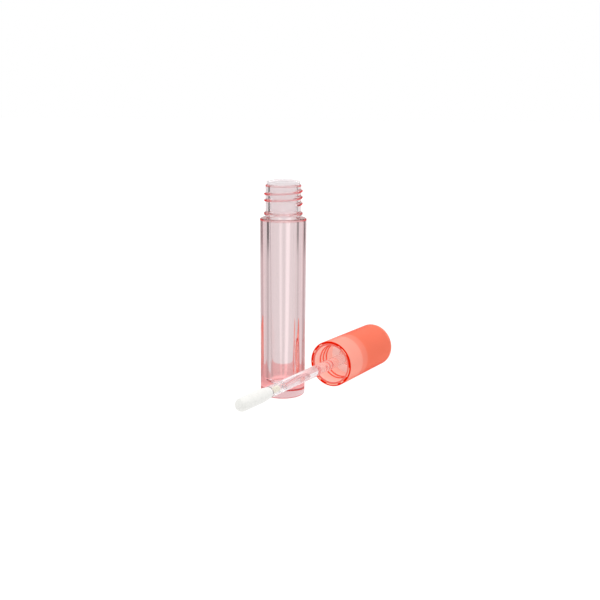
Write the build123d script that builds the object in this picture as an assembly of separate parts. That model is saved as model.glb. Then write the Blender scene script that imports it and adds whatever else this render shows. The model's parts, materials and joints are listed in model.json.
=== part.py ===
from build123d import *
import math
import os

# Lip gloss tube, opened: the bottle stands on its foot, and the applicator lies on its side next to it.
# Origin: the centre of the bottle's foot. The bottle's axis is +Z. Lengths are in millimetres.

# Bottle: a thick clear wall that narrows slightly to the foot, around a cavity with a slight draft
SHOULDER_RADIUS = 9.0
FOOT_RADIUS = 8.75
SHOULDER_Z = 70.6
FOOT_ROUND = 0.7
SHOULDER_ROUND = 0.6
CAVITY_TOP_RADIUS = 5.25
CAVITY_FLOOR_RADIUS = 4.85
CAVITY_FLOOR_Z = 5.0
CAVITY_FLOOR_ROUND = 2.0

# Neck, with a round bead above the shoulder
NECK_RADIUS = 6.85
NECK_BORE_RADIUS = 5.3
NECK_BORE_Z = 71.2
RIM_Z = 83.65
RIM_ROUND = 0.6
BEAD_RADIUS = 7.45
BEAD_HEIGHT = 1.2
BEAD_TOP_Z = 72.9
BEAD_ROUND = 0.4

# Screw thread, the same pitch on the neck and in the cap
PITCH = 2.45
THREAD_ROOT_WIDTH = 1.0
THREAD_CREST_WIDTH = 0.5
THREAD_SINK = 0.3
NECK_THREAD_RADIUS = 7.41
NECK_THREAD_Z = 75.9
NECK_THREAD_ANGLE = -41.0
NECK_THREAD_TURNS = 2.2
CAP_THREAD_RADIUS = 7.05
CAP_THREAD_TURNS = 2.5
CAP_THREAD_ANGLE = NECK_THREAD_ANGLE

# Wiper: a flange on the rim, a plug in the neck, and a lip that wipes the wand
WIPER_FLANGE_RADIUS = 6.45
WIPER_FLANGE_HEIGHT = 1.25
WIPER_DISH_RADIUS = 5.6
WIPER_DISH_DEPTH = 0.5
WIPER_PLUG_RADIUS = 5.2
WIPER_RING_RADIUS = 5.28
WIPER_RING_WIDTH = 0.8
WIPER_RING_DROPS = (2.4, 6.4)
WIPER_BORE_RADIUS = 4.45
WIPER_LENGTH = 12.0
WIPER_LIP_LENGTH = 2.0
WIPER_LIP_WALL = 0.55
ORIFICE_RADIUS = 2.3

# Cap, measured from its mouth, which is at CLOSED_Z when the tube is closed
CLOSED_Z = 70.8
CAP_LENGTH = 36.9
CAP_MOUTH_RADIUS = 9.4
CAP_END_RADIUS = 9.15
CAP_END_ROUND = 0.5
CAP_MOUTH_ROUND = 0.25
CAP_END_WALL = 1.5
CAP_BORE_RADIUS = 8.5
INNER_CAP_RADIUS = 8.45
INNER_CAP_RECESS = 0.3
CAP_CAVITY_RADIUS = 7.7
CAP_CAVITY_DEPTH = 15.2
SLEEVE_BORE_RADIUS = 6.3
CAVITY_END_WALL = 1.5
BOSS_RADIUS = 4.0
BOSS_END_WALL = 1.2

# Gasket, against the end of the cap's cavity, around the wand's collar
GASKET_RADIUS = 7.6
GASKET_HOLE_RADIUS = 4.15
GASKET_THICKNESS = 1.0

# Wand: a head pressed into the inner cap, a collar, and a stem with a socket in its far end
WAND_RADIUS = 2.2
WAND_REACH = 44.6
WAND_COLLAR_RADIUS = 4.0
WAND_HEAD_RADIUS = 2.55
WAND_RIB_RADIUS = 2.75
WAND_RIB_WIDTH = 0.7
WAND_RIB_HEIGHTS = (1.5, 3.7, 5.9)
WAND_HEAD_LENGTH = 8.0
HEAD_SOCKET_RADIUS = 2.8
HEAD_SOCKET_DEPTH = 8.3
STEM_SOCKET_RADIUS = 1.3
STEM_SOCKET_DEPTH = 9.6

# Applicator tip: a moulded core inside a soft flocked sleeve
TIP_REACH = 63.9
FLOCK_RADIUS = 2.5
FLOCK_NECK_RADIUS = 2.05
FLOCK_NECK_LENGTH = 1.4
FLOCK_END_ROUND = 2.0
FLOCK_TIP_WALL = 2.2
BEVEL_ANGLE = 28.0
BEVEL_TURN = 60.0
BEVEL_INSET = 0.35
CORE_STEM_RADIUS = 1.25
CORE_STEM_LENGTH = 5.6
CORE_RADIUS = 1.5

# Clearance between neighbouring pieces of one body
GAP = 0.05

# Where the applicator lies: the centre of the cap's mouth, and the heading from mouth to closed end.
# The cap rests on its side, so its axis falls by the difference of its two end radii.
MOUTH_X = 19.37
MOUTH_Y = 8.33
HEADING = 57.5


def lathe(*points):
    """Turn a closed outline of (radius, height) points once about the Z axis."""
    outline = Polyline(*[(radius, 0, height) for radius, height in points], close=True)
    return revolve(make_face(outline), axis=Axis.Z)


def ring(inner, outer, low, high):
    """A plain tube between two radii and two heights."""
    return lathe((inner, low), (outer, low), (outer, high), (inner, high))


def round_edges(solid, radius, edge_radius, height):
    """Round the circular edges of one radius that lie at one height."""
    def chosen(edge):
        if edge.geom_type != GeomType.CIRCLE:
            return False
        same_height = abs(edge.center(CenterOf.BOUNDING_BOX).Z - height) < 1e-3
        return same_height and abs(edge.radius - edge_radius) < 1e-3
    return fillet(solid.edges().filter_by(chosen), radius)


def thread(root, crest, sink_root, low, angle, turns):
    """A right-hand ridge from sink_root, inside the wall, through root to crest."""
    helix = Helix(pitch=PITCH, height=PITCH * turns, radius=root)
    half_root = THREAD_ROOT_WIDTH / 2
    half_crest = THREAD_CREST_WIDTH / 2
    section_plane = Plane(origin=helix @ 0, x_dir=(1, 0, 0), z_dir=helix % 0)
    outline = Polyline(
        (sink_root - root, -half_root),
        (0, -half_root),
        (crest - root, -half_crest),
        (crest - root, half_crest),
        (0, half_root),
        (sink_root - root, half_root),
        close=True,
    )
    ridge = sweep(section_plane * make_face(outline), path=helix, is_frenet=True)
    return Pos(0, 0, low) * Rot(0, 0, angle) * ridge


def bottle():
    body = lathe((0, 0), (FOOT_RADIUS, 0), (SHOULDER_RADIUS, SHOULDER_Z), (0, SHOULDER_Z))
    body = round_edges(body, FOOT_ROUND, FOOT_RADIUS, 0)
    body = round_edges(body, SHOULDER_ROUND, SHOULDER_RADIUS, SHOULDER_Z)
    neck = ring(0, NECK_RADIUS, SHOULDER_Z - 1, RIM_Z)
    neck = round_edges(neck, RIM_ROUND, NECK_RADIUS, RIM_Z)
    bead_low = BEAD_TOP_Z - BEAD_HEIGHT
    bead = ring(0, BEAD_RADIUS, bead_low, BEAD_TOP_Z)
    bead = round_edges(bead, BEAD_ROUND, BEAD_RADIUS, bead_low)
    bead = round_edges(bead, BEAD_ROUND, BEAD_RADIUS, BEAD_TOP_Z)
    ridge = thread(
        NECK_RADIUS, NECK_THREAD_RADIUS, NECK_RADIUS - THREAD_SINK,
        NECK_THREAD_Z, NECK_THREAD_ANGLE, NECK_THREAD_TURNS,
    )
    cavity = lathe(
        (0, CAVITY_FLOOR_Z),
        (CAVITY_FLOOR_RADIUS, CAVITY_FLOOR_Z),
        (CAVITY_TOP_RADIUS, NECK_BORE_Z),
        (0, NECK_BORE_Z),
    )
    cavity = round_edges(cavity, CAVITY_FLOOR_ROUND, CAVITY_FLOOR_RADIUS, CAVITY_FLOOR_Z)
    bore = ring(0, NECK_BORE_RADIUS, NECK_BORE_Z, RIM_Z)
    return body + neck + bead + ridge - cavity - bore


def wiper():
    top = RIM_Z + WIPER_FLANGE_HEIGHT
    bottom = RIM_Z - WIPER_LENGTH
    lip_top = bottom + WIPER_LIP_LENGTH
    solid = lathe(
        (ORIFICE_RADIUS, bottom),
        (ORIFICE_RADIUS + WIPER_LIP_WALL, bottom),
        (WIPER_PLUG_RADIUS, lip_top),
        (WIPER_PLUG_RADIUS, RIM_Z),
        (WIPER_FLANGE_RADIUS, RIM_Z),
        (WIPER_FLANGE_RADIUS, top),
        (WIPER_DISH_RADIUS, top),
        (WIPER_BORE_RADIUS, top - WIPER_DISH_DEPTH),
        (WIPER_BORE_RADIUS, lip_top + WIPER_LIP_WALL),
        (ORIFICE_RADIUS, bottom + WIPER_LIP_WALL),
    )
    for drop in WIPER_RING_DROPS:
        low = RIM_Z - drop
        solid += ring(WIPER_PLUG_RADIUS - GAP, WIPER_RING_RADIUS, low - WIPER_RING_WIDTH, low)
    return solid


def outer_cap():
    shell = lathe((0, 0), (CAP_MOUTH_RADIUS, 0), (CAP_END_RADIUS, CAP_LENGTH), (0, CAP_LENGTH))
    shell = round_edges(shell, CAP_MOUTH_ROUND, CAP_MOUTH_RADIUS, 0)
    shell = round_edges(shell, CAP_END_ROUND, CAP_END_RADIUS, CAP_LENGTH)
    return shell - ring(0, CAP_BORE_RADIUS, 0, CAP_LENGTH - CAP_END_WALL)


def inner_cap():
    top = CAP_LENGTH - CAP_END_WALL - GAP
    solid = ring(0, INNER_CAP_RADIUS, INNER_CAP_RECESS, top)
    solid -= ring(0, CAP_CAVITY_RADIUS, 0, CAP_CAVITY_DEPTH)
    solid -= ring(0, HEAD_SOCKET_RADIUS, CAP_CAVITY_DEPTH, CAP_CAVITY_DEPTH + HEAD_SOCKET_DEPTH)
    pocket_low = CAP_CAVITY_DEPTH + CAVITY_END_WALL
    boss_top = CAP_CAVITY_DEPTH + HEAD_SOCKET_DEPTH + BOSS_END_WALL
    solid -= ring(BOSS_RADIUS, SLEEVE_BORE_RADIUS, pocket_low, boss_top)
    solid -= ring(0, SLEEVE_BORE_RADIUS, boss_top, top)
    # When closed, the cap's ridge starts half a pitch below the start of the neck's ridge.
    first_turn = NECK_THREAD_Z - CLOSED_Z - PITCH / 2
    ridge = thread(
        CAP_CAVITY_RADIUS, CAP_THREAD_RADIUS, CAP_CAVITY_RADIUS + THREAD_SINK,
        first_turn, CAP_THREAD_ANGLE, CAP_THREAD_TURNS,
    )
    return solid + ridge


def gasket():
    top = CAP_CAVITY_DEPTH - GAP
    return ring(GASKET_HOLE_RADIUS, GASKET_RADIUS, top - GASKET_THICKNESS, top)


def wand():
    collar_top = CAP_CAVITY_DEPTH - GAP
    solid = ring(0, WAND_RADIUS, -WAND_REACH, collar_top)
    solid += ring(0, WAND_COLLAR_RADIUS, collar_top - GASKET_THICKNESS, collar_top)
    solid += ring(0, WAND_HEAD_RADIUS, collar_top, collar_top + WAND_HEAD_LENGTH)
    for height in WAND_RIB_HEIGHTS:
        low = collar_top + height
        solid += ring(WAND_RADIUS, WAND_RIB_RADIUS, low, low + WAND_RIB_WIDTH)
    return solid - ring(0, STEM_SOCKET_RADIUS, -WAND_REACH, STEM_SOCKET_DEPTH - WAND_REACH)


def applicator_core():
    tip = FLOCK_TIP_WALL - TIP_REACH
    shoulder = -WAND_REACH - GAP
    core = ring(0, CORE_RADIUS, tip, shoulder)
    core = round_edges(core, CORE_RADIUS * 0.8, CORE_RADIUS, tip)
    stem = ring(0, CORE_STEM_RADIUS, shoulder, CORE_STEM_LENGTH - WAND_REACH)
    return core + stem


def applicator_flock():
    top = -WAND_REACH - GAP
    sleeve = lathe(
        (0, -TIP_REACH),
        (FLOCK_RADIUS, -TIP_REACH),
        (FLOCK_RADIUS, top - FLOCK_NECK_LENGTH),
        (FLOCK_NECK_RADIUS, top),
        (0, top),
    )
    sleeve = round_edges(sleeve, FLOCK_END_ROUND, FLOCK_RADIUS, -TIP_REACH)
    # One side of the end is sliced off at a slant.
    slice_place = Pos(0, 0, BEVEL_INSET - TIP_REACH) * Rot(0, 0, BEVEL_TURN) * Rot(0, -BEVEL_ANGLE, 0)
    sleeve -= slice_place * Pos(0, 0, -5) * Box(20, 20, 10)
    pocket_end = FLOCK_TIP_WALL - GAP - TIP_REACH
    pocket = ring(0, CORE_RADIUS + GAP, pocket_end, top)
    pocket = round_edges(pocket, CORE_RADIUS * 0.8, CORE_RADIUS + GAP, pocket_end)
    return sleeve - pocket


def laid_down(solid):
    """Move a piece of the applicator from its own upright frame to where it lies."""
    fall = math.asin((CAP_MOUTH_RADIUS - CAP_END_RADIUS) / CAP_LENGTH)
    heading = math.radians(HEADING)
    axis = (
        math.cos(heading) * math.cos(fall),
        math.sin(heading) * math.cos(fall),
        -math.sin(fall),
    )
    side = (-math.sin(heading), math.cos(heading), 0)
    place = Plane(origin=(MOUTH_X, MOUTH_Y, CAP_MOUTH_RADIUS), x_dir=side, z_dir=axis)
    return place.location * solid


nodes = {
    "bottle": bottle(),
    "wiper": wiper(),
    "outer_cap": laid_down(outer_cap()),
    "inner_cap": laid_down(inner_cap()),
    "gasket": laid_down(gasket()),
    "wand": laid_down(wand()),
    "applicator_core": laid_down(applicator_core()),
    "applicator_flock": laid_down(applicator_flock()),
}

os.makedirs("parts", exist_ok=True)
for name, solid in nodes.items():
    export_step(solid, f"parts/{name}.step")
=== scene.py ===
import json
import math

import bmesh
import bpy
from mathutils import Matrix, Vector, noise


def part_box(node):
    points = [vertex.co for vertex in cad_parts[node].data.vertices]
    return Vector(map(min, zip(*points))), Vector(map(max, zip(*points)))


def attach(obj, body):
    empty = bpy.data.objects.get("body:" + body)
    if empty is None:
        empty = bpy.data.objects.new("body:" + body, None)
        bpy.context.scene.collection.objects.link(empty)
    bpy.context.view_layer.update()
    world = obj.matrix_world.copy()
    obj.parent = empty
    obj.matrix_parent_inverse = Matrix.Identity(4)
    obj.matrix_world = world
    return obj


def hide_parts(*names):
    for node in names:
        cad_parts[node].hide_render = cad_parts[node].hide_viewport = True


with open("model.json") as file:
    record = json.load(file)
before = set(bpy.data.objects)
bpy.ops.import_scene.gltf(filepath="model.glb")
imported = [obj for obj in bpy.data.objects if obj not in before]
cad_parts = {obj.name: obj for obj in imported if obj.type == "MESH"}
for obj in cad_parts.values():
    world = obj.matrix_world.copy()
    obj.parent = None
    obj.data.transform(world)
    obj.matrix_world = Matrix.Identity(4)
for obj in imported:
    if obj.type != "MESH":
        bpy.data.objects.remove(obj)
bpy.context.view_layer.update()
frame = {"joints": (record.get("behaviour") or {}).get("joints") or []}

# The visual model of an opened lip gloss tube. Lengths are in millimetres, and MM turns them into metres.
# Overall sizes come from the CAD boxes and the cap's joint, and the others are named here.

MM = 0.001

# Resolution of turned pieces; a support row beside each arc keeps the shading flat beyond it
SEGMENTS = 192
CORE_SEGMENTS = 96
FLOCK_SEGMENTS = 160
ARC_STEPS = 7
ARC_SUPPORT = 0.03
SAME = 1e-6

# Rounding of lesser edges
FINE_EDGE = 0.05
SHARP_EDGE = 0.1
SOFT_EDGE = 0.15
EASED_EDGE = 0.2
ROUND_EDGE = 0.3


# ---------------------------------------------------------------- sizes from the frame

def joint(name):
    return next(j for j in frame["joints"] if j["name"] == name)


BOTTLE_LOW, BOTTLE_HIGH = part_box("bottle")
SHOULDER_RADIUS = (BOTTLE_HIGH.x - BOTTLE_LOW.x) / 2 / MM
RIM_Z = BOTTLE_HIGH.z / MM
WIPER_LOW, WIPER_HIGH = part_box("wiper")
WIPER_TOP = WIPER_HIGH.z / MM
WIPER_BOTTOM = WIPER_LOW.z / MM
WIPER_FLANGE_RADIUS = (WIPER_HIGH.x - WIPER_LOW.x) / 2 / MM
TURN = joint("cap_turn")
MOUTH = Vector(TURN["pos_m"])
AXIS = Vector(TURN["axis"]).normalized()
CAP_MOUTH_RADIUS = MOUTH.z / MM

# Bottle
FOOT_RADIUS = SHOULDER_RADIUS - 0.25
SHOULDER_Z = RIM_Z - 13.05
FOOT_ROUND = 0.7
SHOULDER_ROUND = 0.6
CAVITY_TOP_RADIUS = 5.25
CAVITY_FLOOR_RADIUS = 4.85
CAVITY_FLOOR_Z = 5.0
CAVITY_FLOOR_ROUND = 2.0
NECK_BORE_RADIUS = 5.3
NECK_BORE_Z = SHOULDER_Z + 0.6
NECK_RADIUS = 6.85
RIM_ROUND = 0.6
BEAD_RADIUS = 7.45
BEAD_TOP_Z = SHOULDER_Z + 2.3
BEAD_HEIGHT = 1.2
BEAD_ROUND = 0.4

# Screw thread
PITCH = 2.45
THREAD_WIDTH = 1.0
NECK_THREAD_DEPTH = 0.56
NECK_THREAD_Z = SHOULDER_Z + 5.3
NECK_THREAD_START = math.radians(-41)
NECK_THREAD_TURNS = 2.2
CAP_THREAD_DEPTH = 0.65
CAP_THREAD_TURNS = 2.5
THREAD_RUN_OUT = math.radians(14)
THREAD_STEP = 0.11
THREAD_FULLNESS = 0.7
THREAD_MARGIN = 0.1
LONG_WALL = 5

# Wiper
WIPER_FLANGE_HEIGHT = 1.25
WIPER_PLUG_RADIUS = 5.2
WIPER_RING_RADIUS = 5.28
WIPER_RING_WIDTH = 0.8
WIPER_RING_DROPS = (2.4, 6.4)
WIPER_BORE_RADIUS = 4.45
WIPER_DISH_RADIUS = 5.6
WIPER_DISH_DEPTH = 0.5
WIPER_LIP_LENGTH = 2.0
WIPER_LIP_WALL = 0.55
WIPER_TOP_ROUND = 0.25
WIPER_RING_SLOPE = 0.1
ORIFICE_RADIUS = 2.3

# Cap and applicator, measured from the cap's mouth along the axis to its closed end
CLOSED_Z = 70.8
CAP_LENGTH = 36.9
CAP_END_RADIUS = 9.15
CAP_END_ROUND = 0.5
CAP_MOUTH_ROUND = 0.25
CAP_END_WALL = 1.5
CAP_BORE_RADIUS = 8.5
INNER_CAP_RADIUS = 8.45
INNER_CAP_RECESS = 0.3
CAP_CAVITY_RADIUS = 7.7
CAP_CAVITY_DEPTH = 15.2
SLEEVE_BORE_RADIUS = 6.3
CAVITY_END_WALL = 1.5
BOSS_RADIUS = 4.0
BOSS_END_WALL = 1.2
HEAD_SOCKET_RADIUS = 2.8
HEAD_SOCKET_DEPTH = 8.3
GASKET_RADIUS = 7.6
GASKET_HOLE_RADIUS = 4.15
GASKET_THICKNESS = 1.0
WAND_RADIUS = 2.2
WAND_REACH = 44.6
WAND_COLLAR_RADIUS = 4.0
WAND_HEAD_RADIUS = 2.55
WAND_RIB_RADIUS = 2.75
WAND_RIB_WIDTH = 0.7
WAND_RIB_SLOPE = 0.2
WAND_RIB_HEIGHTS = (1.5, 3.7, 5.9)
WAND_HEAD_LENGTH = 8.0
STEM_SOCKET_RADIUS = 1.3
STEM_SOCKET_DEPTH = 9.6
STEM_SOCKET_ROUND = 0.35
TIP_REACH = 63.9
CORE_TIP_WALL = 2.2
CORE_STEM_RADIUS = 1.25
CORE_STEM_LENGTH = 5.6
CORE_STEM_ROUND = 0.6
CORE_TIP_ROUND = 1.2
CORE_RADIUS = 1.5
GAP = 0.05


# ---------------------------------------------------------------- outlines and turned meshes

def softened(corners, closed=False):
    """Outline points from (radius, height, rounding) corners, with each rounded corner drawn as an arc."""
    points = []
    count = len(corners)
    for index, (radius, level, rounding) in enumerate(corners):
        here = Vector((radius, level))
        at_end = not closed and index in (0, count - 1)
        if at_end or rounding == 0:
            points.append(here)
            continue
        before = Vector(corners[index - 1][:2])
        after = Vector(corners[(index + 1) % count][:2])
        to_before = (before - here).normalized()
        to_after = (after - here).normalized()
        half = to_before.angle(to_after) / 2
        reach = rounding / math.tan(half)
        centre = here + (to_before + to_after).normalized() * rounding / math.sin(half)
        start = here + to_before * reach
        end = here + to_after * reach
        sweep = (start - centre).angle_signed(end - centre)
        points.append(start + to_before * ARC_SUPPORT)
        for step in range(ARC_STEPS + 1):
            arm = start - centre
            arm.rotate(Matrix.Rotation(-sweep * step / ARC_STEPS, 2))
            points.append(centre + arm)
        points.append(end + to_after * ARC_SUPPORT)
    return points


def turned(name, outline, closed=False, shift=None, segments=SEGMENTS):
    """A closed mesh turned from an outline; shift(angle, radius, height) moves a point outwards."""
    mesh = bmesh.new()
    rings = []
    for radius, level in outline:
        if radius < SAME:
            rings.append([mesh.verts.new((0, 0, level * MM))])
            continue
        ring = []
        for step in range(segments):
            angle = math.tau * step / segments
            out = radius + (shift(angle, radius, level) if shift else 0)
            ring.append(mesh.verts.new((out * math.cos(angle) * MM, out * math.sin(angle) * MM, level * MM)))
        rings.append(ring)
    pairs = list(zip(rings, rings[1:]))
    if closed:
        pairs.append((rings[-1], rings[0]))
    for low, high in pairs:
        for step in range(segments):
            following = (step + 1) % segments
            corners = [low[step % len(low)], low[following % len(low)],
                       high[following % len(high)], high[step % len(high)]]
            unique = list(dict.fromkeys(corners))
            mesh.faces.new(unique)
    bmesh.ops.recalc_face_normals(mesh, faces=mesh.faces)
    for face in mesh.faces:
        face.smooth = True
    data = bpy.data.meshes.new(name)
    mesh.to_mesh(data)
    mesh.free()
    piece = bpy.data.objects.new(name, data)
    bpy.context.scene.collection.objects.link(piece)
    return piece


def lay_down(piece):
    """Carry a piece of the applicator from its upright frame to where the applicator lies."""
    side = Vector((-AXIS.y, AXIS.x, 0)).normalized()
    up = AXIS.cross(side)
    place = Matrix((side, up, AXIS)).transposed().to_4x4()
    place.translation = MOUTH
    piece.data.transform(place)
    return piece


def thread_ridge(low, start, turns, depth):
    """How far a right-hand ridge stands at (angle, height), fading in and out at its two ends."""
    finish = start + turns * math.tau

    def ridge(angle, level):
        stand = 0.0
        for turn in range(-1, int(turns) + 3):
            along = angle + turn * math.tau
            if not start < along < finish:
                continue
            centre = low + (along - start) / math.tau * PITCH
            offset = abs(level - centre) / (THREAD_WIDTH / 2)
            if offset >= 1:
                continue
            fade = min(1.0, (along - start) / THREAD_RUN_OUT, (finish - along) / THREAD_RUN_OUT)
            shape = math.cos(offset * math.pi / 2) ** THREAD_FULLNESS
            stand = max(stand, depth * shape * math.sin(fade * math.pi / 2))
        return stand
    return ridge


def levels(low, high, step=THREAD_STEP):
    """Evenly spaced heights between two limits, without the limits themselves."""
    count = max(2, round(abs(high - low) / step))
    return [low + (high - low) * i / count for i in range(1, count)]


# ---------------------------------------------------------------- pieces

def build_bottle():
    bead_low = BEAD_TOP_Z - BEAD_HEIGHT
    outside = softened([
        (0, 0, 0),
        (FOOT_RADIUS, 0, FOOT_ROUND),
        (SHOULDER_RADIUS, SHOULDER_Z, SHOULDER_ROUND),
        (NECK_RADIUS, SHOULDER_Z, SOFT_EDGE),
        (NECK_RADIUS, bead_low, SOFT_EDGE),
        (BEAD_RADIUS, bead_low, BEAD_ROUND),
        (BEAD_RADIUS, BEAD_TOP_Z, BEAD_ROUND),
        (NECK_RADIUS, BEAD_TOP_Z, SOFT_EDGE),
        (NECK_RADIUS, RIM_Z, RIM_ROUND),
        (NECK_BORE_RADIUS, RIM_Z, SHARP_EDGE),
        (NECK_BORE_RADIUS, NECK_BORE_Z + ARC_SUPPORT, 0),
        (NECK_BORE_RADIUS, NECK_BORE_Z, 0),
        (CAVITY_TOP_RADIUS, NECK_BORE_Z, 0),
        (CAVITY_TOP_RADIUS, NECK_BORE_Z - ARC_SUPPORT, 0),
        (CAVITY_FLOOR_RADIUS, CAVITY_FLOOR_Z, CAVITY_FLOOR_ROUND),
        (0, CAVITY_FLOOR_Z, 0),
    ])
    neck_low = BEAD_TOP_Z + 0.3
    neck_high = RIM_Z - RIM_ROUND - THREAD_MARGIN
    outline = []
    for before, after in zip(outside, outside[1:] + [None]):
        outline.append(before)
        on_neck = after is not None and abs(before.x - NECK_RADIUS) < SAME and abs(after.x - NECK_RADIUS) < SAME
        if on_neck and after.y - before.y > LONG_WALL:
            outline += [Vector((NECK_RADIUS, level)) for level in levels(neck_low, neck_high)]
    ridge = thread_ridge(NECK_THREAD_Z, NECK_THREAD_START, NECK_THREAD_TURNS, NECK_THREAD_DEPTH)

    def shift(angle, radius, level):
        outer_neck = abs(radius - NECK_RADIUS) < SAME and level > BEAD_TOP_Z + 0.2
        return ridge(angle, level) if outer_neck else 0
    return turned("bottle_body", outline, shift=shift)


def build_wiper():
    lip_top = WIPER_BOTTOM + WIPER_LIP_LENGTH
    flange_low = WIPER_TOP - WIPER_FLANGE_HEIGHT
    rings = []
    for drop in reversed(WIPER_RING_DROPS):
        high = flange_low - drop
        low = high - WIPER_RING_WIDTH
        rings += [
            (WIPER_PLUG_RADIUS, low - ARC_SUPPORT, 0),
            (WIPER_PLUG_RADIUS, low, 0),
            (WIPER_RING_RADIUS, low + WIPER_RING_SLOPE, 0),
            (WIPER_RING_RADIUS, high - WIPER_RING_SLOPE, 0),
            (WIPER_PLUG_RADIUS, high, 0),
            (WIPER_PLUG_RADIUS, high + ARC_SUPPORT, 0),
        ]
    outline = softened([
        (ORIFICE_RADIUS, WIPER_BOTTOM, SHARP_EDGE),
        (ORIFICE_RADIUS + WIPER_LIP_WALL, WIPER_BOTTOM, SHARP_EDGE),
        (WIPER_PLUG_RADIUS, lip_top, ROUND_EDGE),
        *rings,
        (WIPER_PLUG_RADIUS, flange_low, FINE_EDGE),
        (WIPER_FLANGE_RADIUS, flange_low, SOFT_EDGE),
        (WIPER_FLANGE_RADIUS, WIPER_TOP, WIPER_TOP_ROUND),
        (WIPER_DISH_RADIUS, WIPER_TOP, SOFT_EDGE),
        (WIPER_BORE_RADIUS, WIPER_TOP - WIPER_DISH_DEPTH, EASED_EDGE),
        (WIPER_BORE_RADIUS, lip_top + WIPER_LIP_WALL, ROUND_EDGE),
        (ORIFICE_RADIUS, WIPER_BOTTOM + WIPER_LIP_WALL, SHARP_EDGE),
    ], closed=True)
    return turned("wiper_insert", outline, closed=True)


def build_outer_cap():
    inside_end = CAP_LENGTH - CAP_END_WALL
    outline = softened([
        (0, CAP_LENGTH, 0),
        (CAP_END_RADIUS, CAP_LENGTH, CAP_END_ROUND),
        (CAP_MOUTH_RADIUS, 0, CAP_MOUTH_ROUND),
        (CAP_BORE_RADIUS, 0, EASED_EDGE),
        (CAP_BORE_RADIUS, inside_end, EASED_EDGE),
        (0, inside_end, 0),
    ])
    return lay_down(turned("cap_shell", outline))


def build_inner_cap():
    top = CAP_LENGTH - CAP_END_WALL - GAP
    pocket_low = CAP_CAVITY_DEPTH + CAVITY_END_WALL
    socket_end = CAP_CAVITY_DEPTH + HEAD_SOCKET_DEPTH
    boss_top = socket_end + BOSS_END_WALL
    start = INNER_CAP_RECESS
    bare = softened([
        (0, socket_end, 0),
        (HEAD_SOCKET_RADIUS, socket_end, EASED_EDGE),
        (HEAD_SOCKET_RADIUS, CAP_CAVITY_DEPTH, SHARP_EDGE),
        (CAP_CAVITY_RADIUS, CAP_CAVITY_DEPTH, ROUND_EDGE),
        (CAP_CAVITY_RADIUS, start, SOFT_EDGE),
        (INNER_CAP_RADIUS, start, SOFT_EDGE),
        (INNER_CAP_RADIUS, top, EASED_EDGE),
        (SLEEVE_BORE_RADIUS, top, EASED_EDGE),
        (SLEEVE_BORE_RADIUS, pocket_low, ROUND_EDGE),
        (BOSS_RADIUS, pocket_low, ROUND_EDGE),
        (BOSS_RADIUS, boss_top, EASED_EDGE),
        (0, boss_top, 0),
    ])
    outline = []
    for before, after in zip(bare, bare[1:] + [None]):
        outline.append(before)
        in_cavity = after is not None and abs(before.x - CAP_CAVITY_RADIUS) < SAME
        if in_cavity and before.y - after.y > LONG_WALL:
            walls = levels(before.y, after.y)
            outline += [Vector((CAP_CAVITY_RADIUS, level)) for level in walls]
    low = NECK_THREAD_Z - CLOSED_Z - PITCH / 2
    ridge = thread_ridge(low, NECK_THREAD_START, CAP_THREAD_TURNS, CAP_THREAD_DEPTH)

    def shift(angle, radius, level):
        return -ridge(angle, level) if abs(radius - CAP_CAVITY_RADIUS) < SAME else 0
    return lay_down(turned("cap_insert", outline, shift=shift))


def build_gasket():
    top = CAP_CAVITY_DEPTH - GAP
    low = top - GASKET_THICKNESS
    outline = softened([
        (GASKET_HOLE_RADIUS, low, SOFT_EDGE),
        (GASKET_RADIUS, low, SOFT_EDGE),
        (GASKET_RADIUS, top, SHARP_EDGE),
        (GASKET_HOLE_RADIUS, top, SHARP_EDGE),
    ], closed=True)
    return lay_down(turned("cap_gasket", outline, closed=True))


def build_wand():
    collar_top = CAP_CAVITY_DEPTH - GAP
    collar_low = collar_top - GASKET_THICKNESS
    socket_end = STEM_SOCKET_DEPTH - WAND_REACH
    corners = [
        (0, socket_end, 0),
        (STEM_SOCKET_RADIUS, socket_end, STEM_SOCKET_ROUND),
        (STEM_SOCKET_RADIUS, -WAND_REACH, SHARP_EDGE),
        (WAND_RADIUS, -WAND_REACH, EASED_EDGE),
        (WAND_RADIUS, collar_low, ROUND_EDGE),
        (WAND_COLLAR_RADIUS, collar_low, SOFT_EDGE),
        (WAND_COLLAR_RADIUS, collar_top, SHARP_EDGE),
        (WAND_HEAD_RADIUS, collar_top, SHARP_EDGE),
    ]
    for rib in WAND_RIB_HEIGHTS:
        low = collar_top + rib
        high = low + WAND_RIB_WIDTH
        corners += [
            (WAND_HEAD_RADIUS, low, FINE_EDGE),
            (WAND_RIB_RADIUS, low + WAND_RIB_SLOPE, FINE_EDGE),
            (WAND_RIB_RADIUS, high - WAND_RIB_SLOPE, FINE_EDGE),
            (WAND_HEAD_RADIUS, high, FINE_EDGE),
        ]
    head_top = collar_top + WAND_HEAD_LENGTH
    corners += [(WAND_HEAD_RADIUS, head_top, ROUND_EDGE), (0, head_top, 0)]
    return lay_down(turned("wand_rod", softened(corners)))


def build_core():
    tip = CORE_TIP_WALL - TIP_REACH
    shoulder = -WAND_REACH - GAP
    outline = softened([
        (0, tip, 0),
        (CORE_RADIUS, tip, CORE_TIP_ROUND),
        (CORE_RADIUS, shoulder, SHARP_EDGE),
        (CORE_STEM_RADIUS, shoulder, FINE_EDGE),
        (CORE_STEM_RADIUS, CORE_STEM_LENGTH - WAND_REACH, CORE_STEM_ROUND),
        (0, CORE_STEM_LENGTH - WAND_REACH, 0),
    ])
    return lay_down(turned("tip_core", outline, segments=CORE_SEGMENTS))


# ---------------------------------------------------------------- flocked tip

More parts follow.
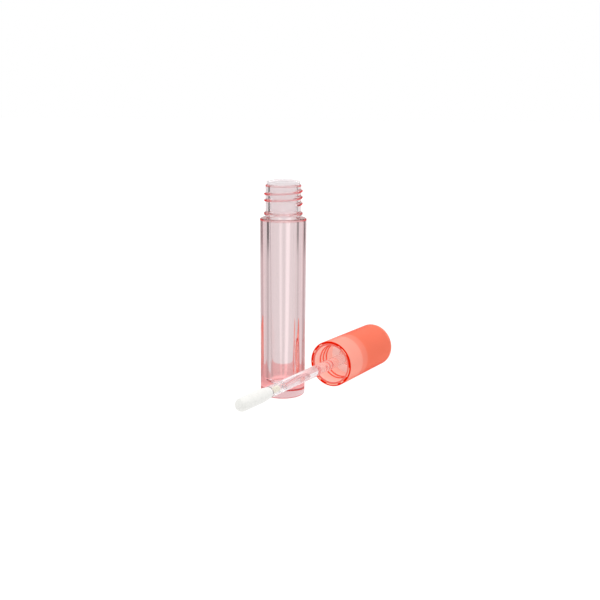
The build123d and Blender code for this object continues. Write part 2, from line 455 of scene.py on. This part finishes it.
FLOCK_NECK_RADIUS = 2.05
FLOCK_RADIUS = 2.5
FLOCK_BEVEL_TURN = math.radians(60)
FLOCK_BEVEL_TILT = math.radians(28)
FLOCK_BEVEL_INSET = 0.35
FLOCK_BEVEL_PRESS = 0.85
FLOCK_RISE_SHARE = 0.28
FLOCK_BELLY = 0.08
FLOCK_BELLY_SHARE = 0.95
FLOCK_END_LENGTH = 2.6
FLOCK_END_FULLNESS = 2.4
FLOCK_CROWDING = 1.35
FLOCK_STEP = 0.12
FLOCK_NAP = 0.025
# The nap's two waves, as (waves per millimetre, share)
FLOCK_WAVES = ((5.5, 0.6), (13.0, 0.4))


def flock_radius(level):
    """The sleeve's radius at a distance from the cap's mouth: narrow at the wand, and rounded at its end."""
    top = -WAND_REACH - GAP
    share = (top - level) / (TIP_REACH + top)
    rise = min(1.0, share / FLOCK_RISE_SHARE)
    belly = FLOCK_NECK_RADIUS + (FLOCK_RADIUS - FLOCK_NECK_RADIUS) * math.sin(rise * math.pi / 2)
    full = belly + FLOCK_BELLY * math.sin(math.pi * min(1.0, share / FLOCK_BELLY_SHARE))
    left = level + TIP_REACH
    if left < FLOCK_END_LENGTH:
        lean = 1 - left / FLOCK_END_LENGTH
        full *= math.sqrt(max(0.0, 1 - lean ** FLOCK_END_FULLNESS))
    return full


def build_flock():
    top = -WAND_REACH - GAP
    pocket = CORE_TIP_WALL - GAP - TIP_REACH
    count = round((TIP_REACH + top) / FLOCK_STEP)
    rows = [Vector((0, -TIP_REACH))]
    for step in range(1, count):
        level = -TIP_REACH + (TIP_REACH + top) * (step / count) ** FLOCK_CROWDING
        rows.append(Vector((flock_radius(level), level)))
    rows.append(Vector((FLOCK_NECK_RADIUS - 0.1, top)))
    rows += softened([
        (CORE_RADIUS + GAP, top, 0),
        (CORE_RADIUS + GAP, pocket, CORE_TIP_ROUND),
        (0, pocket, 0),
    ])
    piece = turned("tip_flock", rows, segments=FLOCK_SEGMENTS)
    nap_points = 1 + FLOCK_SEGMENTS * (count - 1)
    for index, vertex in enumerate(piece.data.vertices):
        if index >= nap_points:
            break
        spot = vertex.co / MM
        # The bevel presses the far end flat on one side.
        across = spot.x * math.cos(FLOCK_BEVEL_TURN) + spot.y * math.sin(FLOCK_BEVEL_TURN)
        plane = -TIP_REACH + FLOCK_BEVEL_INSET + across * math.tan(FLOCK_BEVEL_TILT)
        if spot.z < plane:
            spot.z += (plane - spot.z) * FLOCK_BEVEL_PRESS
        out = Vector((spot.x, spot.y, 0))
        fuzz = sum(noise.noise(spot * waves) * share for waves, share in FLOCK_WAVES)
        if out.length > 0.3:
            spot += out.normalized() * fuzz * FLOCK_NAP
        vertex.co = spot * MM
    return lay_down(piece)


# ---------------------------------------------------------------- shader nodes

WHITE = (1, 1, 1, 1)
MIX_SHADERS = "ShaderNodeMixShader"
MIX_COLOURS = "ShaderNodeMixRGB"


def feed(tree, socket, value):
    """Set an input to a value, or link it from a socket."""
    if isinstance(value, bpy.types.NodeSocket):
        tree.links.new(value, socket)
    else:
        socket.default_value = value


def tune(tree, node, **inputs):
    """Feed a node's inputs by name, where _ stands for a space."""
    for name, value in inputs.items():
        feed(tree, node.inputs[name.replace("_", " ")], value)
    return node


def put(tree, kind, **inputs):
    return tune(tree, tree.nodes.new(kind), **inputs)


def number(tree, operation, *values):
    node = tree.nodes.new("ShaderNodeMath")
    node.operation = operation
    for socket, value in zip(node.inputs, values):
        feed(tree, socket, value)
    return node.outputs["Value"]


def vector(tree, operation, *values):
    node = tree.nodes.new("ShaderNodeVectorMath")
    node.operation = operation
    for socket, value in zip(node.inputs, values):
        feed(tree, socket, value)
    return node.outputs["Value" if operation in ("LENGTH", "DOT_PRODUCT") else "Vector"]


def grade(tree, value, low, high, to_low=0.0, to_high=1.0, smooth=False):
    """A number that goes from to_low to to_high as value goes from low to high."""
    node = put(tree, "ShaderNodeMapRange", Value=value, From_Min=low, From_Max=high,
               To_Min=to_low, To_Max=to_high)
    if smooth:
        node.interpolation_type = "SMOOTHSTEP"
    return node.outputs["Result"]


def mixed(tree, kind, share, first, second):
    """Two shaders or colours mixed by the second's share."""
    node = tree.nodes.new(kind)
    for socket, value in zip(node.inputs, (share, first, second)):
        feed(tree, socket, value)
    return node.outputs[0]


def between(tree, share, first, second):
    """Two numbers mixed by the second's share."""
    node = tree.nodes.new("ShaderNodeMix")
    node.data_type = "FLOAT"
    return tune(tree, node, Factor=share, A=first, B=second).outputs["Result"]


def ramp(tree, value, stops):
    """A colour ramp from (position, colour) stops."""
    node = put(tree, "ShaderNodeValToRGB", Fac=value)
    elements = node.color_ramp.elements
    for index, (position, colour) in enumerate(stops):
        element = elements[index] if index < 2 else elements.new(position)
        element.position = position
        element.color = (*colour, 1)
    return node.outputs["Color"]


def colour_bands(tree, value, length, stops):
    """A colour ramp over a length in millimetres from (distance, colour) stops."""
    return ramp(tree, value, [(distance / length, colour) for distance, colour in stops])


def grey(level):
    return (level, level, level)


def object_place(tree):
    return tree.nodes.new("ShaderNodeTexCoord").outputs["Object"]


def split(tree, place):
    return put(tree, "ShaderNodeSeparateXYZ", Vector=place).outputs


def light_path(tree):
    return tree.nodes.new("ShaderNodeLightPath").outputs


def to_matt(tree):
    """1 for light on its way to a matt surface, and for shadows."""
    path = light_path(tree)
    return number(tree, "MAXIMUM", path["Is Shadow Ray"], path["Is Diffuse Ray"])


def new_material(name):
    material = bpy.data.materials.new(name)
    material.use_nodes = True
    tree = material.node_tree
    return material, tree, tree.nodes["Principled BSDF"]


def wavy(tree, shader, scale, strength, height):
    """Faint surface waviness, as a moulding has, on a shader's bump."""
    grain = put(tree, "ShaderNodeTexNoise", Vector=object_place(tree), Scale=scale, Detail=3.0, Roughness=0.5)
    bump = put(tree, "ShaderNodeBump", Strength=strength, Distance=height, Height=grain.outputs["Fac"])
    tune(tree, shader, Normal=bump.outputs["Normal"])
    return grain.outputs["Fac"]


# ---------------------------------------------------------------- materials

PLASTIC_IOR = 1.52
PLASTIC_WAVE = (220.0, 0.02, 0.0002)
GRAIN_WAVE = (1500.0, 0.1, 0.0001)
ROUGHNESS_SPREAD = 0.02
DENSITY_MARGIN = 1.02
SUBSURFACE_RADIUS = (1, 0.9, 0.8)
SUBSURFACE_DEPTH = 0.0008

# Loss per millimetre in red, green and blue
BOTTLE_ABSORB = (0.014, 0.039, 0.037)
WIPER_ABSORB = (0.008, 0.014, 0.012)
WAND_ABSORB = (0.006, 0.018, 0.016)
CAP_ABSORB = (0.008, 0.160, 0.200)
INSERT_ABSORB = (0.004, 0.060, 0.075)

# Roughness of the clear plastics
WIPER_ROUGHNESS = 0.12
WAND_ROUGHNESS = 0.02
CAP_ROUGHNESS = 0.32
INSERT_ROUGHNESS = 0.05

# Scattered colours, and their shares of the surface
THROUGH_SHARE = 0.3
WIPER_COLOUR = (0.90, 0.875, 0.885)
WIPER_SCATTER = 0.55
WAND_COLOUR = (0.88, 0.85, 0.86)
WAND_SCATTER = 0.12

# Where each of the bottle's bands of painted red edge glow starts, is full and ends, below its edge or above
# the foot
# The red of the painted edge glow on the bottle
PAINTED_GLOW_COLOUR = (0.72, 0.025, 0.025)
EDGE_GLOW = 1.0
FOOT_EDGE = (0.3, 0.6)
SHOULDER_EDGE = (0.75, 0.6, 0.15, 0.0)
BEAD_EDGE = (0.55, 0.42, 0.15, 0.0)
RIM_EDGE = (0.8, 0.68, 0.4, 0.25)
EDGE_INSIDE = (0.35, 0.2)
CREST_START = 0.2
CREST_FULL_SHARE = 0.8
CREST_ABOVE_BEAD = (0.1, 0.2)
FACING_RANGE = (0.25, 0.7)
FACING_LEAST = 0.32

# The cap's colours, and where they change along its axis. They paint light in: a red glow at the rim, a paler
# thin wall lit through near the mouth, highlights on the rim and at the closed end, and shade at grazing edges.
# Painted light: the rim's red glow, and the pale highlight dashes on it
CAP_RIM_GLOW = (0.80, 0.02, 0.002)
CAP_RIM_HIGHLIGHT = (0.96, 0.55, 0.40)
CAP_THIN_COLOUR = (0.96, 0.45, 0.36)
CAP_MIDDLE_COLOUR = (0.92, 0.31, 0.22)
CAP_DEEP_COLOUR = (0.88, 0.225, 0.13)
# A painted highlight ring at the closed end
CAP_END_HIGHLIGHT = (0.93, 0.29, 0.185)
# Painted shade: the colour deepens and darkens where the surface turns away from the eye
CAP_GRAZE_SHADE = (0.85, 0.35, 0.25)
CAP_GRAZE_START = 0.7
CAP_SCATTER = 0.8
CAP_LIT_THROUGH = (1.0, 0.86, 0.83)
CAP_RIM_DEPTH = 0.3
THIN_TO_MIDDLE = (10.1, 10.8)
MIDDLE_TO_DEEP = (14.3, 15.2)
DEEP_TO_END = (34.8, 35.7)
RIM_FADE = 0.2
# Where the painted highlight dashes sit on the rim
DASH_DEPTH = (0.15, 0.25)
DASH_RADII = (8.5, 8.85, 8.95)
DASH_SCALE = 420.0
DASH_RANGE = (0.5, 0.54)
INSERT_COLOUR = (0.99, 0.76, 0.71)
# Painted light: the red glow on the crests of the insert's thread
INSERT_CREST_GLOW = (0.88, 0.12, 0.06)
INSERT_CREST_RADII = (6.9, 7.0, 7.35, 7.6)
INSERT_SCATTER = 0.8
INSERT_THROUGH_SHARE = 0.35
INSERT_LIT_THROUGH = (1.0, 0.94, 0.92)
INSERT_RIM_DEPTH = 0.25

# Opaque pieces
GASKET_COLOUR = (0.93, 0.90, 0.91)
GASKET_ROUGHNESS = 0.6
CORE_COLOUR = (0.80, 0.77, 0.60)
CORE_ROUGHNESS = 0.4
FLOCK_DARK = (0.78, 0.78, 0.75)
FLOCK_PALE = (0.85, 0.845, 0.815)


def clear_plastic(name, absorb, roughness):
    """Clear tinted plastic: absorb is the loss per millimetre in red, green and blue."""
    material, tree, shader = new_material(name)
    grain = wavy(tree, shader, *PLASTIC_WAVE)
    spread = grade(tree, grain, 0.0, 1.0, roughness, roughness + ROUGHNESS_SPREAD)
    tune(tree, shader, Base_Color=WHITE, Transmission_Weight=1.0, IOR=PLASTIC_IOR, Roughness=spread)
    density = max(absorb) / MM * DENSITY_MARGIN
    tint = [1 - loss / MM / density for loss in absorb] + [1]
    volume = put(tree, "ShaderNodeVolumeAbsorption", Color=tint, Density=density)
    # Light on its way to a matt surface passes straight through the wall.
    straight = tree.nodes.new("ShaderNodeBsdfTransparent")
    wall = mixed(tree, MIX_SHADERS, to_matt(tree), shader.outputs["BSDF"], straight.outputs["BSDF"])
    tune(tree, tree.nodes["Material Output"], Surface=wall, Volume=volume.outputs["Volume"])
    return material


def scattered(material, colours, share, through_share=THROUGH_SHARE, lit_through=None):
    """Mix light scattered inside the wall into a clear plastic; colours and share are values or node sockets.

    lit_through is the tint of the light that the wall lets through to matt surfaces behind it.
    """
    tree = material.node_tree
    output = tree.nodes["Material Output"]
    colour = (*colours, 1) if isinstance(colours, tuple) else colours
    diffuse = put(tree, "ShaderNodeBsdfDiffuse", Color=colour)
    through = put(tree, "ShaderNodeBsdfTranslucent", Color=colour)
    inside = mixed(tree, MIX_SHADERS, through_share, diffuse.outputs["BSDF"], through.outputs["BSDF"])
    wall = output.inputs["Surface"].links[0].from_socket
    surface = mixed(tree, MIX_SHADERS, share, wall, inside)
    if lit_through:
        straight = put(tree, "ShaderNodeBsdfTransparent", Color=(*lit_through, 1))
        surface = mixed(tree, MIX_SHADERS, to_matt(tree), surface, straight.outputs["BSDF"])
    tune(tree, output, Surface=surface)
    return material


def reach_from_mouth(tree):
    """Distances along the applicator's axis from the cap's mouth, and out from the axis.

    They are shares of the cap's length and of its radius at the mouth.
    """
    offset = vector(tree, "SUBTRACT", object_place(tree), MOUTH)
    along = vector(tree, "DOT_PRODUCT", offset, AXIS / (CAP_LENGTH * MM))
    across = vector(tree, "CROSS_PRODUCT", offset, AXIS / (CAP_MOUTH_RADIUS * MM))
    return along, vector(tree, "LENGTH", across)


def rim_share(tree, along, depth, share):
    """All of the light is scattered at the rim, and a share of it beyond the given depth."""
    return colour_bands(tree, along, CAP_LENGTH, (
        (0.0, grey(1)), (depth, grey(1)), (depth + RIM_FADE, grey(share)), (CAP_LENGTH, grey(share)),
    ))


def rim_highlights(tree, along, out):
    """1 on the painted highlight dashes that run round the middle of the cap's rim, and 0 elsewhere."""
    at_rim = colour_bands(tree, along, CAP_LENGTH, (
        (0.0, grey(1)), (DASH_DEPTH[0], grey(1)), (DASH_DEPTH[1], grey(0)), (CAP_LENGTH, grey(0)),
    ))
    inner, outer, end = DASH_RADII
    ring = colour_bands(tree, out, CAP_MOUTH_RADIUS, (
        (0.0, grey(0)), (inner, grey(1)), (outer, grey(1)), (end, grey(0)), (CAP_MOUTH_RADIUS, grey(0)),
    ))
    broken = put(tree, "ShaderNodeTexNoise", Vector=object_place(tree), Scale=DASH_SCALE, Detail=0.0)
    dash = grade(tree, broken.outputs["Fac"], *DASH_RANGE)
    return number(tree, "MULTIPLY", vector(tree, "MULTIPLY", at_rim, ring), dash)


def coral_shell():
    """The cap's shell: rough clear coral and light scattered inside, with painted light banded along the axis,
    a painted red glow deep at the rim, painted highlights and painted shade at grazing edges.
    """
    material = clear_plastic("cap_coral", CAP_ABSORB, CAP_ROUGHNESS)
    tree = material.node_tree
    along, out = reach_from_mouth(tree)
    # Painted light along the axis: a red glow at the rim, the thin wall paler where lit through, and a
    # highlight ring at the end
    bands = colour_bands(tree, along, CAP_LENGTH, (
        (0.0, CAP_RIM_GLOW), (CAP_RIM_DEPTH, CAP_RIM_GLOW), (CAP_RIM_DEPTH + RIM_FADE, CAP_THIN_COLOUR),
        (THIN_TO_MIDDLE[0], CAP_THIN_COLOUR), (THIN_TO_MIDDLE[1], CAP_MIDDLE_COLOUR),
        (MIDDLE_TO_DEEP[0], CAP_MIDDLE_COLOUR), (MIDDLE_TO_DEEP[1], CAP_DEEP_COLOUR),
        (DEEP_TO_END[0], CAP_DEEP_COLOUR), (DEEP_TO_END[1], CAP_END_HIGHLIGHT), (CAP_LENGTH, CAP_END_HIGHLIGHT),
    ))
    facing = tree.nodes.new("ShaderNodeLayerWeight").outputs["Facing"]
    # Painted shade at grazing edges
    tint = ramp(tree, facing, ((0.0, grey(1)), (CAP_GRAZE_START, grey(1)), (1.0, CAP_GRAZE_SHADE)))
    # Painted highlights on the rim
    rimmed = mixed(tree, MIX_COLOURS, rim_highlights(tree, along, out), bands, (*CAP_RIM_HIGHLIGHT, 1))
    colours = vector(tree, "MULTIPLY", rimmed, tint)
    share = rim_share(tree, along, CAP_RIM_DEPTH, CAP_SCATTER)
    return scattered(material, colours, share, lit_through=CAP_LIT_THROUGH)


def coral_insert():
    """The cap's insert: pale inside, with a red glow painted deep on its rim and on the crests of its thread.
    """
    material = clear_plastic("insert_coral", INSERT_ABSORB, INSERT_ROUGHNESS)
    tree = material.node_tree
    along, out = reach_from_mouth(tree)
    # Painted red glow at the insert's rim
    rim = colour_bands(tree, along, CAP_LENGTH, (
        (0.0, CAP_RIM_GLOW), (INSERT_RIM_DEPTH, CAP_RIM_GLOW),
        (INSERT_RIM_DEPTH + RIM_FADE, INSERT_COLOUR), (CAP_LENGTH, INSERT_COLOUR),
    ))
    start, low, high, end = INSERT_CREST_RADII
    # Painted red glow on the thread's crests
    crest = colour_bands(tree, out, CAP_MOUTH_RADIUS, (
        (0.0, grey(1)), (start, grey(1)), (low, INSERT_CREST_GLOW),
        (high, INSERT_CREST_GLOW), (end, grey(1)), (CAP_MOUTH_RADIUS, grey(1)),
    ))
    colours = vector(tree, "MULTIPLY", rim, crest)
    share = rim_share(tree, along, INSERT_RIM_DEPTH, INSERT_SCATTER)
    return scattered(material, colours, share, INSERT_THROUGH_SHARE, INSERT_LIT_THROUGH)


def clear_bottle():
    """The bottle: clear, with a red edge glow painted along the thread, the bead and the outer edges."""
    material = clear_plastic("bottle_clear", BOTTLE_ABSORB, 0.0)
    tree = material.node_tree
    place = object_place(tree)
    out = vector(tree, "LENGTH", vector(tree, "MULTIPLY", place, (1 / MM, 1 / MM, 0)))
    up = number(tree, "DIVIDE", split(tree, place)["Z"], RIM_Z * MM)
    stops = [(0.0, grey(EDGE_GLOW)), (FOOT_EDGE[0], grey(EDGE_GLOW)), (FOOT_EDGE[1], grey(0))]
    for level, drops in ((SHOULDER_Z, SHOULDER_EDGE), (BEAD_TOP_Z, BEAD_EDGE), (RIM_Z, RIM_EDGE)):
        for drop, glow in zip(drops, (0, EDGE_GLOW, EDGE_GLOW, 0)):
            stops.append((level - drop, grey(glow)))
    edges = colour_bands(tree, up, RIM_Z, stops)
    outer = grade(tree, out, NECK_RADIUS - EDGE_INSIDE[0], NECK_RADIUS - EDGE_INSIDE[1])
    crest_full = NECK_RADIUS + NECK_THREAD_DEPTH * CREST_FULL_SHARE
    crest = grade(tree, out, NECK_RADIUS + CREST_START, crest_full, 0.0, EDGE_GLOW)
    above = grade(tree, up, *((BEAD_TOP_Z + rise) / RIM_Z for rise in CREST_ABOVE_BEAD))
    on_edge = number(tree, "MULTIPLY", edges, outer)
    on_crest = number(tree, "MULTIPLY", crest, above)
    # The painted edge glow is strongest where a surface turns away from the eye.
    facing = tree.nodes.new("ShaderNodeLayerWeight").outputs["Facing"]
    fade = grade(tree, facing, *FACING_RANGE, FACING_LEAST, 1.0)
    shown = number(tree, "MULTIPLY", number(tree, "MAXIMUM", on_edge, on_crest), fade)
    # Painted light: the red edge glow goes on as colour scattered from the wall.
    return scattered(material, PAINTED_GLOW_COLOUR, shown)


def milky(name, absorb, roughness, colour, share):
    """A clear plastic with a little scattered light of one colour."""
    return scattered(clear_plastic(name, absorb, roughness), colour, share)


def plain_plastic(name, colour, roughness):
    """An opaque moulding with faint grain."""
    material, tree, shader = new_material(name)
    tune(tree, shader, Base_Color=(*colour, 1), Roughness=roughness, Subsurface_Weight=0.2,
         Subsurface_Radius=SUBSURFACE_RADIUS, Subsurface_Scale=SUBSURFACE_DEPTH)
    wavy(tree, shader, *GRAIN_WAVE)
    return material


def flock_fibre():
    """Short dense nap: fine bump, a little colour variation, and a soft sheen."""
    material, tree, shader = new_material("flock_nap")
    place = object_place(tree)
    nap = put(tree, "ShaderNodeTexNoise", Vector=place, Scale=9000.0, Detail=4.0, Roughness=0.7)
    tufts = put(tree, "ShaderNodeTexNoise", Vector=place, Scale=1400.0, Detail=2.0, Roughness=0.5)
    bump = put(tree, "ShaderNodeBump", Strength=0.4, Distance=0.00004, Height=nap.outputs["Fac"])
    colour = ramp(tree, tufts.outputs["Fac"], ((0.3, FLOCK_DARK), (0.7, FLOCK_PALE)))
    tune(tree, shader, Base_Color=colour, Normal=bump.outputs["Normal"], Roughness=0.9,
         Sheen_Weight=0.25, Sheen_Roughness=0.5)
    return material


# ---------------------------------------------------------------- the visual model

# Each piece's builder, the body it rides on, the CAD node it replaces, and its material
PIECES = (
    (build_bottle, "bottle", "bottle", clear_bottle()),
    (build_wiper, "wiper", "wiper",
     milky("wiper_clear", WIPER_ABSORB, WIPER_ROUGHNESS, WIPER_COLOUR, WIPER_SCATTER)),
    (build_outer_cap, "applicator", "outer_cap", coral_shell()),
    (build_inner_cap, "applicator", "inner_cap", coral_insert()),
    (build_gasket, "seal", "gasket", plain_plastic("gasket_white", GASKET_COLOUR, GASKET_ROUGHNESS)),
    (build_wand, "applicator", "wand",
     milky("wand_clear", WAND_ABSORB, WAND_ROUGHNESS, WAND_COLOUR, WAND_SCATTER)),
    (build_core, "applicator", "applicator_core", plain_plastic("core_cream", CORE_COLOUR, CORE_ROUGHNESS)),
    (build_flock, "applicator", "applicator_flock", flock_fibre()),
)

for build, body, node, material in PIECES:
    piece = build()
    piece.data.materials.append(material)
    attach(piece, body)
    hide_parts(node)


# ---------------------------------------------------------------- stage, light and camera

FLOOR_SIZE = 6.0
FLOOR_DROP = 0.00002
FLOOR_ALBEDO = 0.1
TABLE_TO_CAMERA = 1.0
FOOT_LIGHT = 1.1
FOOT_LIGHT_REACH = 0.02
FOOT_LIGHT_FADE = 0.6

# Brightness of the lit table by direction from the bottle, in degrees from straight behind, right positive
TABLE_LIGHT = (
    (-180, 0.9), (-90, 0.8), (-66, 0.7), (-60, 0.5),
    (-40, 0.5), (-32, 0.75), (-7.5, 0.75), (-6, 0.95), (-3.5, 0.95), (-2, 0.72), (2, 0.72), (3.5, 1.05),
    (8.5, 1.05), (11, 0.78), (40, 0.78), (47, 0.6), (62, 0.6), (68, 0.75), (90, 0.8), (180, 0.9),
)
# The same further off, from FAR_START to FAR_END, with dark sectors painted into the table's light where flags
# would stand
FAR_LIGHT = (
    (-180, 0.9), (-90, 0.8), (-69, 0.75), (-65, 0.0),
    (-46, 0.0), (-40, 0.75), (-7.5, 0.75), (-6, 0.95), (-3.5, 0.95), (-2, 0.72), (2, 0.72), (3.5, 1.05),
    (8.5, 1.05), (11, 0.78), (48, 0.78), (52, 0.2), (68, 0.2), (72, 0.75), (90, 0.8), (180, 0.9),
)
TABLE_LEVEL = 0.94
FAR_START = 0.27
FAR_END = 0.42

# The bottle's tinted light on the table behind it
CAST_START = 0.004
CAST_END = 0.040
CAST_END_FADE = 1.06
CAST_WIDTH = 0.03
CAST_WIDTH_FADE = 1.2
CAST_SCALE = 600.0
CAST_DEEP = (0.95, 0.38, 0.38)
CAST_PALE = (1.0, 0.62, 0.60)

# The world's light, by how far behind the object and how high it comes from
FRONT_LIGHT = 0.8
BACK_LIGHT = 1.0
BEHIND_RANGE = (-0.7, 0.75)
TOP_LIGHT = 1.1
ABOVE_RANGE = (0.35, 0.9)
OVERHEAD_PLACE = Vector((0.0, 0.1, 0.9))
OVERHEAD_SIZE = 0.8
OVERHEAD_POWER = 3.0

CAMERA_PLACE = Vector((6.69, -355.6, 120.0)) * MM
CAMERA_PITCH = math.radians(12.97)
CAMERA_ROLL = math.radians(0.45)
SENSOR = 36.0
# The focal length as a share of the frame's width
FOCAL_SHARE = 1.545


def direction_light(tree, share, stops):
    """Brightness over a full turn from (degrees, brightness) stops."""
    return ramp(tree, share, [(0.5 + angle / 360, grey(level * TABLE_LEVEL)) for angle, level in stops])


def table_light(tree, place, sides, plain):
    """How bright the table is: 1 where plain, and otherwise by direction and distance from the bottle."""
    direction = number(tree, "ARCTAN2", sides["X"], sides["Y"])
    share = grade(tree, direction, -math.pi, math.pi)
    distance = vector(tree, "LENGTH", place)
    near = direction_light(tree, share, TABLE_LIGHT)
    far = direction_light(tree, share, FAR_LIGHT)
    around = between(tree, grade(tree, distance, FAR_START, FAR_END, smooth=True), near, far)
    beyond_foot = grade(tree, distance, FOOT_LIGHT_REACH * FOOT_LIGHT_FADE, FOOT_LIGHT_REACH)
    return between(tree, plain, between(tree, beyond_foot, FOOT_LIGHT, around), TABLE_TO_CAMERA)


def table_tint(tree, place, sides, plain):
    """The table's colour: white, with the bottle's pink cast light painted mottled just behind the bottle
    unless plain.
    """
    mottle = put(tree, "ShaderNodeTexNoise", Vector=place, Scale=CAST_SCALE, Detail=2.0)
    # Painted light: the bottle's pink cast light on the table
    cast = ramp(tree, mottle.outputs["Fac"], ((0.3, CAST_DEEP), (0.7, CAST_PALE)))
    beyond = grade(tree, sides["Y"], CAST_END, CAST_END * CAST_END_FADE)
    before = grade(tree, sides["Y"], CAST_START, 0.0)
    aside = grade(tree, number(tree, "ABSOLUTE", sides["X"]), CAST_WIDTH, CAST_WIDTH * CAST_WIDTH_FADE)
    outside = number(tree, "MAXIMUM", number(tree, "MAXIMUM", aside, before), plain)
    return mixed(tree, MIX_COLOURS, outside, mixed(tree, MIX_COLOURS, beyond, cast, WHITE), WHITE)


def build_stage():
    data = bpy.data.meshes.new("floor")
    mesh = bmesh.new()
    bmesh.ops.create_grid(mesh, x_segments=8, y_segments=8, size=FLOOR_SIZE / 2)
    mesh.to_mesh(data)
    mesh.free()
    floor = bpy.data.objects.new("floor", data)
    floor.location.z = -FLOOR_DROP
    bpy.context.scene.collection.objects.link(floor)
    material, tree, shader = new_material("floor_white")
    place = object_place(tree)
    sides = split(tree, place)
    # The camera and matt surfaces see a plain white table.
    path = light_path(tree)
    plain = number(tree, "MAXIMUM", path["Is Camera Ray"], path["Is Diffuse Ray"])
    tune(tree, shader, Base_Color=(*grey(FLOOR_ALBEDO), 1), Roughness=0.9, Specular_IOR_Level=0.0,
         Emission_Color=table_tint(tree, place, sides, plain),
         Emission_Strength=table_light(tree, place, sides, plain))
    data.materials.append(material)


def build_world():
    """A white studio: bright behind the object and overhead, a little greyer at the sides and in front."""
    world = bpy.data.worlds.new("studio")
    world.use_nodes = True
    bpy.context.scene.world = world
    tree = world.node_tree
    sides = split(tree, tree.nodes.new("ShaderNodeTexCoord").outputs["Generated"])
    behind = grade(tree, sides["Y"], *BEHIND_RANGE, FRONT_LIGHT, BACK_LIGHT, smooth=True)
    above = grade(tree, sides["Z"], *ABOVE_RANGE, 0.0, TOP_LIGHT, smooth=True)
    brightest = number(tree, "MAXIMUM", behind, above)
    # The backdrop itself is white.
    seen = number(tree, "MAXIMUM", brightest, light_path(tree)["Is Camera Ray"])
    tune(tree, tree.nodes["Background"], Color=WHITE, Strength=seen)


def build_overhead():
    light = bpy.data.lights.new("overhead", "AREA")
    light.shape = "RECTANGLE"
    light.size = light.size_y = OVERHEAD_SIZE
    light.energy = OVERHEAD_POWER
    item = bpy.data.objects.new("overhead", light)
    item.location = OVERHEAD_PLACE
    item.rotation_euler = (-OVERHEAD_PLACE).to_track_quat("-Z", "Y").to_euler()
    bpy.context.scene.collection.objects.link(item)


def build_camera():
    data = bpy.data.cameras.new("camera")
    data.sensor_width = SENSOR
    data.lens = FOCAL_SHARE * SENSOR
    data.clip_start = 0.01
    camera = bpy.data.objects.new("camera", data)
    camera.matrix_world = (
        Matrix.Translation(CAMERA_PLACE)
        @ Matrix.Rotation(math.pi / 2 - CAMERA_PITCH, 4, "X")
        @ Matrix.Rotation(CAMERA_ROLL, 4, "Z")
    )
    bpy.context.scene.collection.objects.link(camera)
    bpy.context.scene.camera = camera


build_stage()
build_world()
build_camera()
build_overhead()

scene = bpy.context.scene
scene.view_settings.view_transform = "Standard"
# Light bounces many times along the clear walls before it leaves them.
scene.cycles.max_bounces = 40
scene.cycles.transmission_bounces = 32
scene.cycles.transparent_max_bounces = 32
scene.cycles.glossy_bounces = 16
scene.cycles.diffuse_bounces = 4
scene.cycles.volume_bounces = 0
